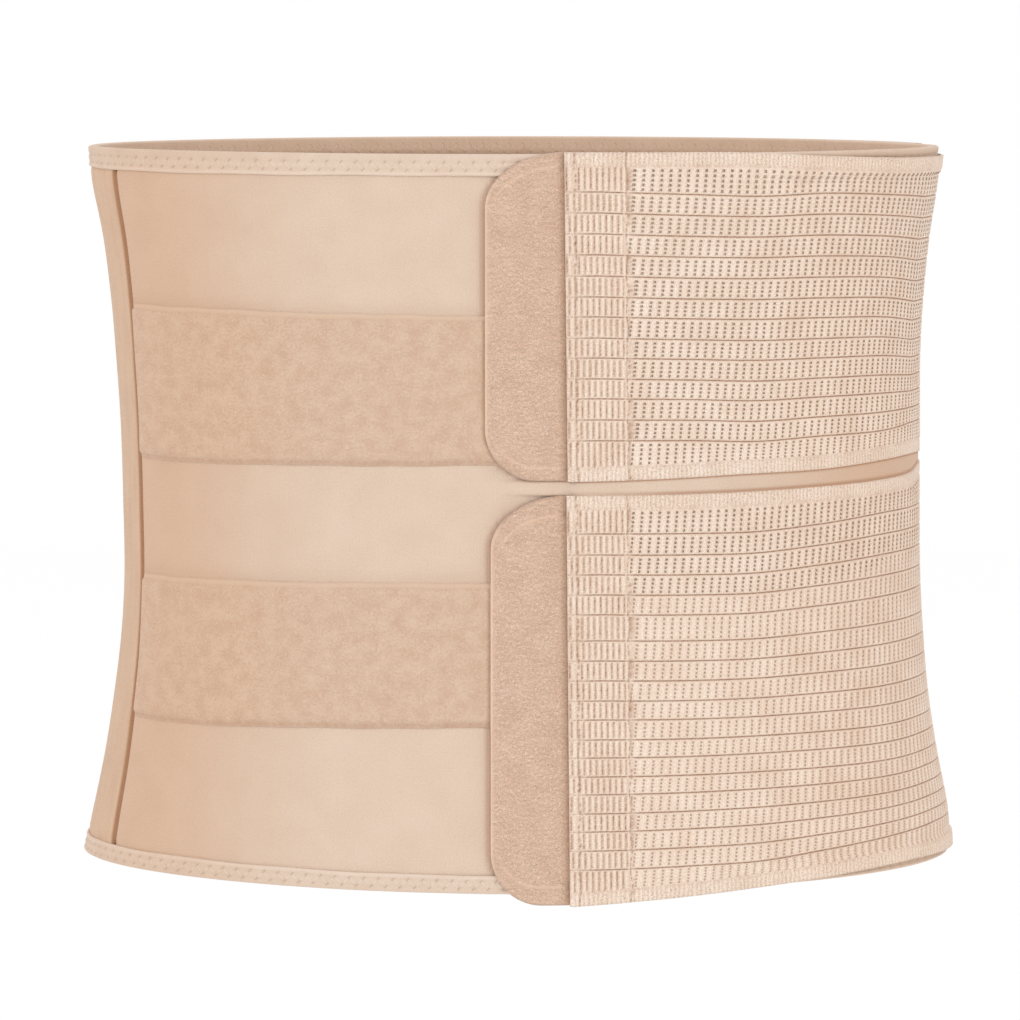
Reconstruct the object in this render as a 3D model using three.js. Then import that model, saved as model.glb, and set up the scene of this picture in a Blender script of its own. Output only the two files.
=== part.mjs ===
// Abdominal binder: a spiral wrap of cloth round the waist, closed in front by two wide
// elastic straps with hook tabs. Millimetres, +Z up, the front faces -Y and +X is the
// wearer's left side. The origin is the middle of the waist, at its narrowest height.

import * as THREE from 'three';

// Driving sizes of the wrap
const binderHeight = 238; // lower edge to upper edge, tape included
const waistHeight = 100; // lower edge to the narrowest ring
const waistHalfWidth = 131.3; // inside of the cloth, at the narrowest ring
const waistHalfDepth = 93; // inside of the cloth, at the narrowest ring
const depthFlare = 0.7; // how much of the sideways flare the depth takes part in
const clothThickness = 2;
const clearance = 0.3; // between any two pieces that touch

// Folded tape over the edges
const tapeThickness = 0.8;
const topTapeHeight = 7.1;
const bottomTapeHeight = 6.1;
const tapeFold = 0.5; // bevel where the tape folds over the edge
const tapeEase = 2.5; // height over which a strap rises onto a tape

// Loop strips, hook tabs and straps
const stripThickness = 1;
const tabThickness = 1.6;
const strapThickness = 1.6;
const tabTopRadius = 19;
const tabBottomRadius = 17.5;
const upperTabReach = 12.4; // how far the tab passes the middle of the front
const lowerTabReach = 10.7;
const hemStart = 15.5; // sideways from the middle of the front
const hemWidth = 19.9;
const tabInset = 0.8; // the tab ends this far short of the end of the hem
const grooveWidth = 1.2; // lines between the ribs of the elastic
const grooveDepth = 0.5;

// Angles round the waist in degrees: 0 is the middle of the front, 90 the wearer's left
// side, -90 the right side. The back counts on from -90 to -270.
const seamAngle = -70;
const backPanelEnd = -258; // the same place as 102
const tuckStart = 80; // from here the front panel dives under the back panel
const tuckEnd = 100;
const frontPanelEnd = 126;
const stripEnd = 24;
const strapEnd = 120;
const strapSettled = 45; // from here the straps lie on the panel itself
const ringStep = 6; // between two sections, and half of it where the panel dives under
const closest = 1; // least angle between two sections
const panelRows = 10; // up the open height of the cloth, between its tapes
const stripRows = 3; // up a loop strip
const tabRows = 5; // up a hook tab
const cornerSteps = 6; // sections round a corner of a hook tab
const tabSteps = 3; // sections along the rest of it

// The torso's inner outline: a row for each height, as a share of binderHeight, with
// the half-width to the left (-X) and right (+X) as shares of waistHalfWidth
const sections = [
  { height: 0.0, left: 1.1035, right: 1.0861 },
  { height: 0.06, left: 1.0822, right: 1.0792 },
  { height: 0.145, left: 1.0503, right: 1.0495 },
  { height: 0.23, left: 1.0263, right: 1.0258 },
  { height: 0.315, left: 1.0077, right: 1.0122 },
  { height: 0.4, left: 0.9993, right: 1.0038 },
  { height: 0.5, left: 1.0015, right: 1.0015 },
  { height: 0.61, left: 1.0071, right: 1.0008 },
  { height: 0.7, left: 1.017, right: 1.0004 },
  { height: 0.78, left: 1.0282, right: 1.0065 },
  { height: 0.87, left: 1.048, right: 1.0217 },
  { height: 0.95, left: 1.0747, right: 1.0427 },
  { height: 1.0, left: 1.08, right: 1.0503 },
];

// Edges of the two straps: a row for each angle, heights as shares of binderHeight
const strapEdges = [
  { angle: 7, upperTop: 1.0034, upperBottom: 0.5592, lowerTop: 0.5433, lowerBottom: -0.0151 },
  { angle: 18, upperTop: 1.0029, upperBottom: 0.5609, lowerTop: 0.5433, lowerBottom: -0.0092 },
  { angle: 32, upperTop: 1.0013, upperBottom: 0.5639, lowerTop: 0.5433, lowerBottom: -0.0025 },
  { angle: 46, upperTop: 0.9945, upperBottom: 0.5643, lowerTop: 0.5454, lowerBottom: 0.0046 },
  { angle: 64, upperTop: 0.9887, upperBottom: 0.5697, lowerTop: 0.5462, lowerBottom: 0.0109 },
  { angle: 76, upperTop: 0.9874, upperBottom: 0.5714, lowerTop: 0.5521, lowerBottom: 0.0092 },
  { angle: 90, upperTop: 0.9874, upperBottom: 0.568, lowerTop: 0.555, lowerBottom: 0.0075 },
  { angle: 122, upperTop: 0.9874, upperBottom: 0.565, lowerTop: 0.5575, lowerBottom: 0.0071 },
];

// Loop strips: heights of their edges as shares of binderHeight, at the seam and in front
const stripEdges = {
  upper: { topAtSeam: 0.7861, topInFront: 0.7836, bottomAtSeam: 0.5689, bottomInFront: 0.5794 },
  lower: { topAtSeam: 0.4097, topInFront: 0.4214, bottomAtSeam: 0.2063, bottomInFront: 0.2235 },
};

// Lines between the ribs: heights of the first and last line as shares of the strap's
// own height, and how far the middle lines sag in front and at the side. One rib of the
// lower strap is taller than the rest.
const ribs = {
  upper: {
    lines: 13, first: 0.877, last: 0.1153,
    sagFront: -0.0092, sagSide: 0.0507, tallAfter: 0, tallExtra: 0,
  },
  lower: {
    lines: 18, first: 0.9036, last: 0.0811,
    sagFront: 0.0056, sagSide: 0.0492, tallAfter: 5, tallExtra: 0.0227,
  },
};

// Layers, measured outward from the inside of the cloth
const tapeOut = clothThickness + clearance + tapeThickness;
const tapeIn = -clearance - tapeThickness;
const stripIn = clothThickness + clearance;
const stripOut = stripIn + stripThickness;
const tabIn = stripOut + clearance;
const tabOut = tabIn + tabThickness;
const strapOverTab = tabOut + clearance;
const strapOverTape = tapeOut + clearance;
const strapOverCloth = clothThickness + clearance;
const tuck = tapeOut - tapeIn + clearance;

const radians = THREE.MathUtils.degToRad;
const degrees = THREE.MathUtils.radToDeg;
const lerp = THREE.MathUtils.lerp;
const smoothstep = THREE.MathUtils.smoothstep;

// Angle between the two panels at the side seam
const seamGap = degrees(clearance / waistHalfDepth);

// Smooth curve through one column of a table, with level ends past the last rows
function column(table, key, name, at) {
  const last = table.length - 1;
  if (at <= table[0][key]) return table[0][name];
  if (at >= table[last][key]) return table[last][name];
  let i = 0;
  while (table[i + 1][key] < at) i += 1;
  const slope = (j) => {
    const a = table[Math.max(j - 1, 0)];
    const b = table[Math.min(j + 1, last)];
    return (b[name] - a[name]) / (b[key] - a[key]);
  };
  const span = table[i + 1][key] - table[i][key];
  const t = (at - table[i][key]) / span;
  const h = t * t * (3 - 2 * t);
  const rise = t * (1 - t) * (1 - t) * slope(i) - t * t * (1 - t) * slope(i + 1);
  return lerp(table[i][name], table[i + 1][name], h) + span * rise;
}

// Point of the torso's outline at an angle and height, and from there outward
function outline(angle, height) {
  const share = height / binderHeight;
  const left = column(sections, 'height', 'left', share);
  const right = column(sections, 'height', 'right', share);
  const side = Math.sin(radians(angle));
  const flare = (left + right) / 2 + ((right - left) / 2) * side - 1;
  const x = waistHalfWidth * side * (1 + flare * side * side);
  const depth = waistHalfDepth * (1 + depthFlare * ((left + right) / 2 - 1));
  return new THREE.Vector2(x, -depth * Math.cos(radians(angle)));
}

function place(angle, height, outward) {
  const foot = outline(angle, height);
  const along = outline(angle + 0.1, height).sub(outline(angle - 0.1, height)).normalize();
  const x = foot.x + outward * along.y;
  const y = foot.y - outward * along.x;
  return new THREE.Vector3(x, y, height - waistHeight);
}

// Angle in front of the waist that lies this far sideways
function angleOf(sideways) {
  return degrees(Math.asin(sideways / (waistHalfWidth + tabOut)));
}

// Angles of the sections from one end of a piece to the other, on one grid for all
function sectionAngles(from, to, tucked = true) {
  const grid = [];
  for (let angle = Math.ceil(from / ringStep) * ringStep; angle < to; angle += ringStep) {
    grid.push(angle);
    if (tucked && angle + ringStep > tuckStart && angle < tuckEnd) grid.push(angle + ringStep / 2);
  }
  return [from, ...grid.filter((angle) => angle > from + closest && angle < to - closest), to];
}

// Closed solid swept round the waist. section(angle) gives its outline as pairs of
// height and distance outward, always as many, up the outer face and down the inner.
function sweep(angles, section) {
  const rings = angles.map((angle) => section(angle).map(([h, d]) => ({ angle, h, d })));
  const size = rings[0].length;
  const points = rings.flat().map((p) => place(p.angle, p.h, p.d));
  const faces = [];
  for (let r = 0; r < rings.length - 1; r += 1) {
    for (let i = 0; i < size; i += 1) {
      const a = r * size + i;
      const b = r * size + ((i + 1) % size);
      faces.push([a, a + size, b], [b, a + size, b + size]);
    }
  }
  for (const [ring, flip] of [[0, false], [rings.length - 1, true]]) {
    const corners = points.slice(ring * size, (ring + 1) * size);
    const flat = corners.map((p) => new THREE.Vector2(Math.hypot(p.x, p.y), p.z));
    for (const [a, b, c] of THREE.ShapeUtils.triangulateShape(flat, [])) {
      const corner = [a, b, c].map((i) => i + ring * size);
      faces.push(flip ? corner.reverse() : corner);
    }
  }
  const geometry = new THREE.BufferGeometry().setFromPoints(points);
  geometry.setIndex(faces.flat());
  geometry.computeVertexNormals();
  return geometry;
}

// Heights at even distances, and the outline of a plain layer through such heights
function evenly(bottom, top, rows) {
  return Array.from({ length: rows + 1 }, (_, i) => lerp(bottom, top, i / rows));
}

function layer(heights, inner, outer) {
  const up = heights.map((h) => [h, outer]);
  const down = heights.toReversed().map((h) => [h, inner]);
  return [...up, ...down];
}

// How far the wrap shifts inward: the free end of the front panel is tucked in
function shift(angle) {
  return -tuck * smoothstep(angle, tuckStart, tuckEnd);
}

// Heights of the rows up the cloth between its tapes, which the straps follow too
const openRows = evenly(bottomTapeHeight, binderHeight - topTapeHeight, panelRows);

function panel(from, to) {
  const edge = clearance + tapeThickness;
  const heights = [edge, ...openRows, binderHeight - edge];
  return sweep(sectionAngles(from, to), (angle) => {
    const inner = shift(angle);
    return layer(heights, inner, inner + clothThickness);
  });
}

function frontPanel() {
  return panel(seamAngle + seamGap / 2, frontPanelEnd);
}

function backPanel() {
  return panel(backPanelEnd, seamAngle - seamGap / 2);
}

// Tape folded over an edge. up is 1 for the upper edge and -1 for the lower.
function binding(edge, tapeHeight, up) {
  const section = (angle) => {
    const outer = shift(angle) + tapeOut;
    const inner = shift(angle) + tapeIn;
    const leg = edge - up * tapeHeight;
    const points = [
      [leg, outer],
      [edge - up * tapeFold, outer],
      [edge, outer - tapeFold],
      [edge, inner + tapeFold],
      [edge - up * tapeFold, inner],
      [leg, inner],
      [leg, inner + tapeThickness],
      [edge - up * tapeThickness, inner + tapeThickness],
      [edge - up * tapeThickness, outer - tapeThickness],
      [leg, outer - tapeThickness],
    ];
    return up > 0 ? points : points.reverse();
  };
  return sweep(sectionAngles(backPanelEnd, frontPanelEnd), section);
}

function loopStrip(edges) {
  const from = seamAngle + seamGap;
  const section = (angle) => {
    const t = smoothstep(angle, from, 0);
    const bottom = binderHeight * lerp(edges.bottomAtSeam, edges.bottomInFront, t);
    const top = binderHeight * lerp(edges.topAtSeam, edges.topInFront, t);
    return layer(evenly(bottom, top, stripRows), stripIn, stripOut);
  };
  return sweep(sectionAngles(from, stripEnd), section);
}

function strapEdge(name, angle) {
  return binderHeight * column(strapEdges, 'angle', name, angle);
}

// Hook tab with two round corners at its free end, sewn under the hem of its strap
function hookTab(which, reach) {
  const end = hemStart + hemWidth - tabInset;
  const round = evenly(0, Math.PI / 2, cornerSteps).map((turn) => {
    return (1 - Math.cos(turn)) * Math.max(tabTopRadius, tabBottomRadius);
  });
  const straight = evenly(round[cornerSteps], reach + end, tabSteps).slice(1);
  const drop = (radius, past) => {
    const rest = Math.max(radius - past, 0);
    return radius - Math.sqrt(radius * radius - rest * rest);
  };
  const pastEnd = new Map([...round, ...straight].map((past) => [angleOf(past - reach), past]));
  const section = (angle) => {
    const past = pastEnd.get(angle);
    const top = strapEdge(`${which}Top`, angle) - drop(tabTopRadius, past);
    const bottom = strapEdge(`${which}Bottom`, angle) + drop(tabBottomRadius, past);
    return layer(evenly(bottom, top, tabRows), tabIn, tabOut);
  };
  return sweep([...pastEnd.keys()], section);
}

// Underside of the straps: over the tab, then easing down to the panel and its tapes
function strapUnderside(angle, height) {
  const eased = smoothstep(angle, angleOf(hemStart + hemWidth), strapSettled);
  const lift = lerp(strapOverTab, strapOverCloth, eased);
  const topTape = binderHeight - topTapeHeight;
  const overTop = smoothstep(height, topTape - tapeEase, topTape);
  const overBottom = smoothstep(-height, -bottomTapeHeight - tapeEase, -bottomTapeHeight);
  const overTape = lerp(strapOverCloth, strapOverTape, Math.max(overTop, overBottom));
  return Math.max(lift, overTape);
}

// Height of one line between two ribs, as a share of the strap's height
function ribLine(rib, i, angle) {
  const t = i / (rib.lines - 1);
  const side = smoothstep(angle, 0, 90);
  const sag = 4 * t * (1 - t) * lerp(rib.sagFront, rib.sagSide, side);
  const tall = i >= rib.tallAfter ? rib.tallExtra : 0;
  return rib.first - (rib.first - rib.last - rib.tallExtra) * t - tall - sag;
}

function strap(which) {
  const rib = ribs[which];
  const highestBottom = binderHeight * Math.max(...strapEdges.map((row) => row[`${which}Bottom`]));
  const lowestTop = binderHeight * Math.min(...strapEdges.map((row) => row[`${which}Top`]));
  const turns = [...openRows, bottomTapeHeight + tapeEase, binderHeight - topTapeHeight - tapeEase]
    .filter((h) => h > highestBottom + clearance && h < lowestTop - clearance)
    .sort((a, b) => b - a);
  const section = (angle) => {
    const top = strapEdge(`${which}Top`, angle);
    const bottom = strapEdge(`${which}Bottom`, angle);
    const face = (h, sunk) => [h, strapUnderside(angle, h) + strapThickness - sunk];
    const outer = [face(bottom, 0)];
    for (let i = rib.lines - 1; i >= 0; i -= 1) {
      const line = lerp(bottom, top, ribLine(rib, i, angle));
      outer.push(face(line - grooveWidth / 2, 0), face(line, grooveDepth), face(line + grooveWidth / 2, 0));
    }
    outer.push(face(top, 0));
    const inner = [top, ...turns, bottom].map((h) => [h, strapUnderside(angle, h)]);
    return [...outer, ...inner];
  };
  return sweep(sectionAngles(angleOf(hemStart), strapEnd, false), section);
}

// Materials: cloth and elastic in skin tones
function cloth(color, roughness) {
  return new THREE.MeshStandardMaterial({ color, roughness, metalness: 0 });
}

const knit = cloth(0xe4c9b0, 0.85);
const brushed = cloth(0xd8b79c, 0.95);
const tape = cloth(0xe8d1bb, 0.8);
const loop = cloth(0xdabaa0, 0.98);
const hook = cloth(0xd4b299, 0.98);
const elastic = cloth(0xeacfb8, 0.8);

const pieces = [
  ['front_panel', frontPanel(), knit],
  ['back_panel', backPanel(), brushed],
  ['top_binding', binding(binderHeight, topTapeHeight, 1), tape],
  ['bottom_binding', binding(0, bottomTapeHeight, -1), tape],
  ['loop_strip_upper', loopStrip(stripEdges.upper), loop],
  ['loop_strip_lower', loopStrip(stripEdges.lower), loop],
  ['hook_tab_upper', hookTab('upper', upperTabReach), hook],
  ['hook_tab_lower', hookTab('lower', lowerTabReach), hook],
  ['strap_upper', strap('upper'), elastic],
  ['strap_lower', strap('lower'), elastic],
];

const group = new THREE.Group();
for (const [name, geometry, material] of pieces) {
  const mesh = new THREE.Mesh(geometry, material);
  mesh.name = name;
  group.add(mesh);
}

export default group;
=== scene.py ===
"""Abdominal binder: a spiral wrap of knitted cloth with bound edges and two loop strips,
closed in front by two wide ribbed elastic straps with hook tabs. Metres, +Z up, front -Y."""

import math

import bmesh
import bpy
import numpy as np
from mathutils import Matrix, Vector


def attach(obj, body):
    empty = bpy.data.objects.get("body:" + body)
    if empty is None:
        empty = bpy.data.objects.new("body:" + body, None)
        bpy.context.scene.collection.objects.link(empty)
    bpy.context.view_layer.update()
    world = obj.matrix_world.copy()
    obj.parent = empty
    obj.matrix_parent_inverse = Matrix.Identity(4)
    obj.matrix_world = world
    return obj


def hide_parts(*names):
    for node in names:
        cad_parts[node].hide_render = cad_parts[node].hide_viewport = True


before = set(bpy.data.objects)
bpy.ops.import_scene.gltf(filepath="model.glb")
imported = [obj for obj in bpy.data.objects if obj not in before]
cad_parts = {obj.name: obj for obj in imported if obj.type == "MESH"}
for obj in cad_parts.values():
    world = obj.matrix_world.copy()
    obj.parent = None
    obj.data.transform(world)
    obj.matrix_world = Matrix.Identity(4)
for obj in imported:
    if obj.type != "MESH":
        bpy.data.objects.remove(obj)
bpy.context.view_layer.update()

# The camera stands in front of the middle, a little above the binder, and looks
# slightly down. A long lens keeps the wrap nearly flat in the picture.
camera_place = Vector((0, -1.940, 0.1974))
camera_target = Vector((-0.002775, 0, 0.01486))
camera = bpy.data.objects.new("camera", bpy.data.cameras.new("camera"))
camera.data.lens = 203.53
camera.data.sensor_width = 36
camera.data.clip_end = 20
camera.location = camera_place
camera.rotation_euler = (camera_target - camera_place).to_track_quat("-Z", "Y").to_euler()
bpy.context.scene.collection.objects.link(camera)
bpy.context.scene.camera = camera

# The studio is a white room: a pale floor well below the binder, a sweep behind it, and
# large soft lamps. The light comes mostly from the front and above, a little stronger
# from the left of the picture.
floor_height = -0.60
room_half_width = 6
white = bpy.data.materials.new("studio_white")
white.use_nodes = True
paper = white.node_tree.nodes["Principled BSDF"]
paper.inputs["Roughness"].default_value = 0.9
paper.inputs["Base Color"].default_value = (0.99, 0.99, 0.99, 1)
grain = white.node_tree.nodes.new("ShaderNodeTexNoise")
grain.inputs["Scale"].default_value = 300
grain_bump = white.node_tree.nodes.new("ShaderNodeBump")
grain_bump.inputs["Strength"].default_value = 0.02
white.node_tree.links.new(grain.outputs["Fac"], grain_bump.inputs["Height"])
white.node_tree.links.new(grain_bump.outputs["Normal"], paper.inputs["Normal"])
bm = bmesh.new()
bmesh.ops.create_grid(bm, x_segments=2, y_segments=2, size=room_half_width)
bmesh.ops.translate(bm, verts=bm.verts, vec=(0, 0, floor_height))
floor_mesh = bpy.data.meshes.new("floor")
bm.to_mesh(floor_mesh)
bm.free()
floor = bpy.data.objects.new("floor", floor_mesh)
floor_mesh.materials.append(white)
bpy.context.scene.collection.objects.link(floor)

world = bpy.data.worlds.new("studio")
world.use_nodes = True
world.node_tree.nodes["Background"].inputs["Color"].default_value = (1, 1, 1, 1)
world.node_tree.nodes["Background"].inputs["Strength"].default_value = 1.0
bpy.context.scene.world = world
lamps = {
    # name: (place, size, watts)
    "key": ((-1.3, -2.2, 1.6), 1.6, 16),
    "fill": ((1.6, -2.0, 0.7), 1.8, 6),
}
for name, (place_at, size, watts) in lamps.items():
    light = bpy.data.lights.new(name, "AREA")
    light.size = size
    light.energy = watts
    lamp = bpy.data.objects.new(name, light)
    lamp.location = place_at
    lamp.rotation_euler = (-Vector(place_at)).to_track_quat("-Z", "Y").to_euler()
    bpy.context.scene.collection.objects.link(lamp)
bpy.context.scene.view_settings.view_transform = "Standard"

# Front panel: smooth fine knit, cut in one piece from the side seam across the belly,
# its free end tucked in at the right of the picture. Every other piece lies on its form,
# so the form of the wrap is described here. Sizes in millimetres, as in the CAD.
mm = 0.001
binder_height = 238
waist_height = 100
waist_half_width = 131.3
waist_half_depth = 93
depth_flare = 0.7
cloth_thickness = 2
clearance = 0.3
tape_thickness = 0.8
seam_angle = -70
tuck_start, tuck_end = 90, 101
front_panel_end = 126
tuck = cloth_thickness + 3 * clearance + 2 * tape_thickness
sections = np.array([
    # height, left, right: shares of the binder's height and of the waist's half width
    (0.0, 1.1035, 1.0861), (0.06, 1.0822, 1.0792), (0.145, 1.0503, 1.0495),
    (0.23, 1.0263, 1.0258), (0.315, 1.0077, 1.0122), (0.4, 0.9993, 1.0038),
    (0.5, 1.0015, 1.0015), (0.61, 1.0071, 1.0008), (0.7, 1.017, 1.0004),
    (0.78, 1.0282, 1.0065), (0.87, 1.048, 1.0217), (0.95, 1.0747, 1.0427),
    (1.0, 1.08, 1.0503),
])


def smoothstep(value, low, high):
    t = np.clip((value - low) / (high - low), 0, 1)
    return t * t * (3 - 2 * t)


def column(keys, values, at):
    """Smooth curve through one column of a table, with level ends."""
    last = len(keys) - 1
    j = np.arange(last + 1)
    ahead, behind = np.minimum(j + 1, last), np.maximum(j - 1, 0)
    slope = (values[ahead] - values[behind]) / (keys[ahead] - keys[behind])
    at = np.clip(at, keys[0], keys[-1])
    i = np.clip(np.searchsorted(keys, at, side="right") - 1, 0, last - 1)
    span = keys[i + 1] - keys[i]
    t = (at - keys[i]) / span
    h = t * t * (3 - 2 * t)
    rise = t * (1 - t) ** 2 * slope[i] - t * t * (1 - t) * slope[i + 1]
    return values[i] + (values[i + 1] - values[i]) * h + span * rise


def outline(angle, height):
    share = height / binder_height
    left = column(sections[:, 0], sections[:, 1], share)
    right = column(sections[:, 0], sections[:, 2], share)
    side = np.sin(np.radians(angle))
    flare = (left + right) / 2 + (right - left) / 2 * side - 1
    depth = waist_half_depth * (1 + depth_flare * ((left + right) / 2 - 1))
    return waist_half_width * side * (1 + flare * side * side), -depth * np.cos(np.radians(angle))


def place(angle, height, outward):
    """Points of the wrap in metres, from angle, height and distance out of its inside."""
    x, y = outline(angle, height)
    x1, y1 = outline(angle + 0.1, height)
    x0, y0 = outline(angle - 0.1, height)
    length = np.hypot(x1 - x0, y1 - y0)
    return mm * np.stack([
        x + outward * (y1 - y0) / length,
        y - outward * (x1 - x0) / length,
        height - waist_height,
    ], axis=-1)


def shift(angle):
    return -tuck * smoothstep(angle, tuck_start, tuck_end)


# Distance in millimetres along the cloth from the middle of the front, at mid height
ring = np.linspace(-262, 130, 3921)
ring_x, ring_y = outline(ring, np.full_like(ring, binder_height / 2))
ring_along = np.concatenate([[0], np.cumsum(np.hypot(np.diff(ring_x), np.diff(ring_y)))])
ring_along -= np.interp(0, ring, ring_along)


def along(angle):
    return np.interp(angle, ring, ring_along)


def angle_at(distance):
    return np.interp(distance, ring_along, ring)


# How far out each layer lies: strips on the cloth, tabs on the strips, straps on the tabs
strip_in = cloth_thickness + clearance
strip_out = strip_in + 1
tab_in = strip_out + clearance
tab_out = tab_in + 1.6
hem_start, hem_width = 15.5, 19.9
strap_over_tab = tab_out + clearance
strap_over_tape = cloth_thickness + 2 * clearance + tape_thickness
strap_over_cloth = cloth_thickness + clearance
strap_settled = 45
elastic_thickness = 1.6
tape_ease = 2.5
tape_heights = (6.1, 7.1)  # at the lower and the upper edge
strips = {
    # name: top at the seam, top in front, bottom at the seam, bottom in front, node
    "upper_loop_strip": (0.7861, 0.7836, 0.5689, 0.5794, "loop_strip_upper"),
    "lower_loop_strip": (0.4097, 0.4214, 0.2063, 0.2235, "loop_strip_lower"),
}
strip_end = 24
strap_edges = np.array([
    # angle, then shares of the height: upper top, upper bottom, lower top, lower bottom
    (7, 1.0034, 0.5592, 0.5412, -0.0151), (18, 1.0029, 0.5609, 0.5403, -0.0092),
    (32, 1.0013, 0.5639, 0.5401, -0.0025), (46, 0.9945, 0.5643, 0.5411, 0.0046),
    (64, 0.9887, 0.5697, 0.5431, 0.0109), (76, 0.9874, 0.5714, 0.5462, 0.0092),
    (82, 0.9874, 0.5700, 0.5530, 0.0085), (90, 0.9874, 0.568, 0.5555, 0.0075),
    (122, 0.9874, 0.565, 0.5575, 0.0071),
])
edge_columns = {"upper": (1, 2), "lower": (3, 4)}


def strap_edge(which, end, angle):
    values = strap_edges[:, edge_columns[which][0 if end == "top" else 1]]
    return binder_height * column(strap_edges[:, 0], values, angle)


def angle_of(sideways):
    return np.degrees(np.arcsin(sideways / (waist_half_width + tab_out)))


def strap_underside(angle, height):
    eased = smoothstep(angle, angle_of(hem_start + hem_width), strap_settled)
    lift = strap_over_tab + (strap_over_cloth - strap_over_tab) * eased
    top_tape = binder_height - tape_heights[1]
    over_top = smoothstep(height, top_tape - tape_ease, top_tape)
    over_bottom = smoothstep(-height, -tape_heights[0] - tape_ease, -tape_heights[0])
    over_tape = strap_over_cloth + (strap_over_tape - strap_over_cloth) * np.maximum(over_top, over_bottom)
    return np.maximum(lift, over_tape)


def strip_edge(name, end, angle):
    at_seam, in_front = strips[name][:2] if end == "top" else strips[name][2:4]
    return binder_height * (at_seam + (in_front - at_seam) * smoothstep(angle, seam_angle, 0))


def turned(angle):
    """The same place on the wrap, counted from the front over the strap side."""
    return np.where(angle < -180, angle + 360, angle)


def under_straps(angle):
    return smoothstep(turned(angle), -12, -2) * (1 - smoothstep(turned(angle), 121, 130))


# The tabs' outline, seen from the front, with flatter corners at the top
tab_reach = {"upper": 10.9, "lower": 9.1}
tab_corners = {"top": (25.3, 17.9), "bottom": (17.0, 17.0)}  # sideways, upwards
corner_shadow = 0.6


def tab_depth(which, angle, height, side=0.0, ends=0.0):
    """Distance in from a rounded outline that lies this far inside the tab's own."""
    x = (waist_half_width + tab_out) * np.sin(np.radians(angle)) + tab_reach[which] - side
    up = strap_edge(which, "top", angle) - ends - height
    down = height - strap_edge(which, "bottom", angle) - ends
    near = np.minimum(up, down)
    corners = zip(tab_corners["top"], tab_corners["bottom"])
    wide, tall = (np.where(up < down, *pair) - side for pair in corners)
    to_side, to_end = np.clip(wide - x, 0, None), np.clip(tall - near, 0, None)
    reached = np.hypot(to_side / wide, to_end / tall)
    steep = np.maximum(np.hypot(to_side / wide ** 2, to_end / tall ** 2), 1e-6)
    return np.where((x < wide) & (near < tall), (1 - reached) * reached / steep, np.minimum(x, near))


def tab_shadow(angle, height, width):
    """Shade on the cloth beside the tabs' free side, thinner round their corners."""
    shadow = np.zeros(height.shape)
    for which in tab_reach:
        to_top = strap_edge(which, "top", angle) - height
        to_bottom = height - strap_edge(which, "bottom", angle)
        beside = smoothstep(np.minimum(to_top, to_bottom), 3, 17)
        reach_out = corner_shadow + (width - corner_shadow) * beside
        away = -tab_depth(which, angle, height) / reach_out
        shadow = np.maximum(shadow, 1 - smoothstep(away, 0.35, 1.1))
    return shadow * (1 - smoothstep(angle, -2, 3)) * (angle > -60)


def cloth_grid(angle, height, outward, dark, band=None):
    """Grid of faces over the wrap, with its UV map in millimetres along and up, and two
    vertex attributes that its material reads: shade, mostly painted shade or highlight,
    and band, for edges and painted shadow."""
    rows, columns = angle.shape
    bm = bmesh.new()
    bmesh.ops.create_grid(bm, x_segments=columns - 1, y_segments=rows - 1, size=1)
    shade = bm.verts.layers.float.new("shade")
    points = place(angle, height, outward).reshape(-1, 3)
    shades = dark.reshape(-1)
    edging = bm.verts.layers.float.new("band")
    bands = (np.zeros_like(angle) if band is None else band).reshape(-1)
    lengths = along(angle).reshape(-1)
    heights = height.reshape(-1)
    for vert, point, depth, edge in zip(bm.verts, points, shades, bands):
        vert.co = point
        vert[shade] = depth
        vert[edging] = edge
    uv = bm.loops.layers.uv.new("cloth")
    bm.verts.index_update()
    for face in bm.faces:
        face.smooth = True
        for loop in face.loops:
            i = loop.vert.index
            loop[uv].uv = (lengths[i], heights[i])
    return bm


def finish_piece(bm, name, material, node, thickness=None):
    mesh = bpy.data.meshes.new(name)
    bm.to_mesh(mesh)
    bm.free()
    mesh.materials.append(material)
    piece = bpy.data.objects.new(name, mesh)
    bpy.context.scene.collection.objects.link(piece)
    if thickness:
        wall = piece.modifiers.new("wall", "SOLIDIFY")
        wall.thickness = thickness * mm
        wall.offset = -1
        wall.use_quality_normals = True
    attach(piece, "root")
    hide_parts(node)
    return piece


def srgb(red, green, blue):
    parts = [c / 255 for c in (red, green, blue)]
    return tuple(c / 12.92 if c <= 0.04045 else ((c + 0.055) / 1.055) ** 2.4 for c in parts) + (1,)


# Painted shade of every cloth towards the sides of the wrap, where the light falls off
side_shade_reach = (52, 132)  # millimetres along the cloth from the middle of the front


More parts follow.
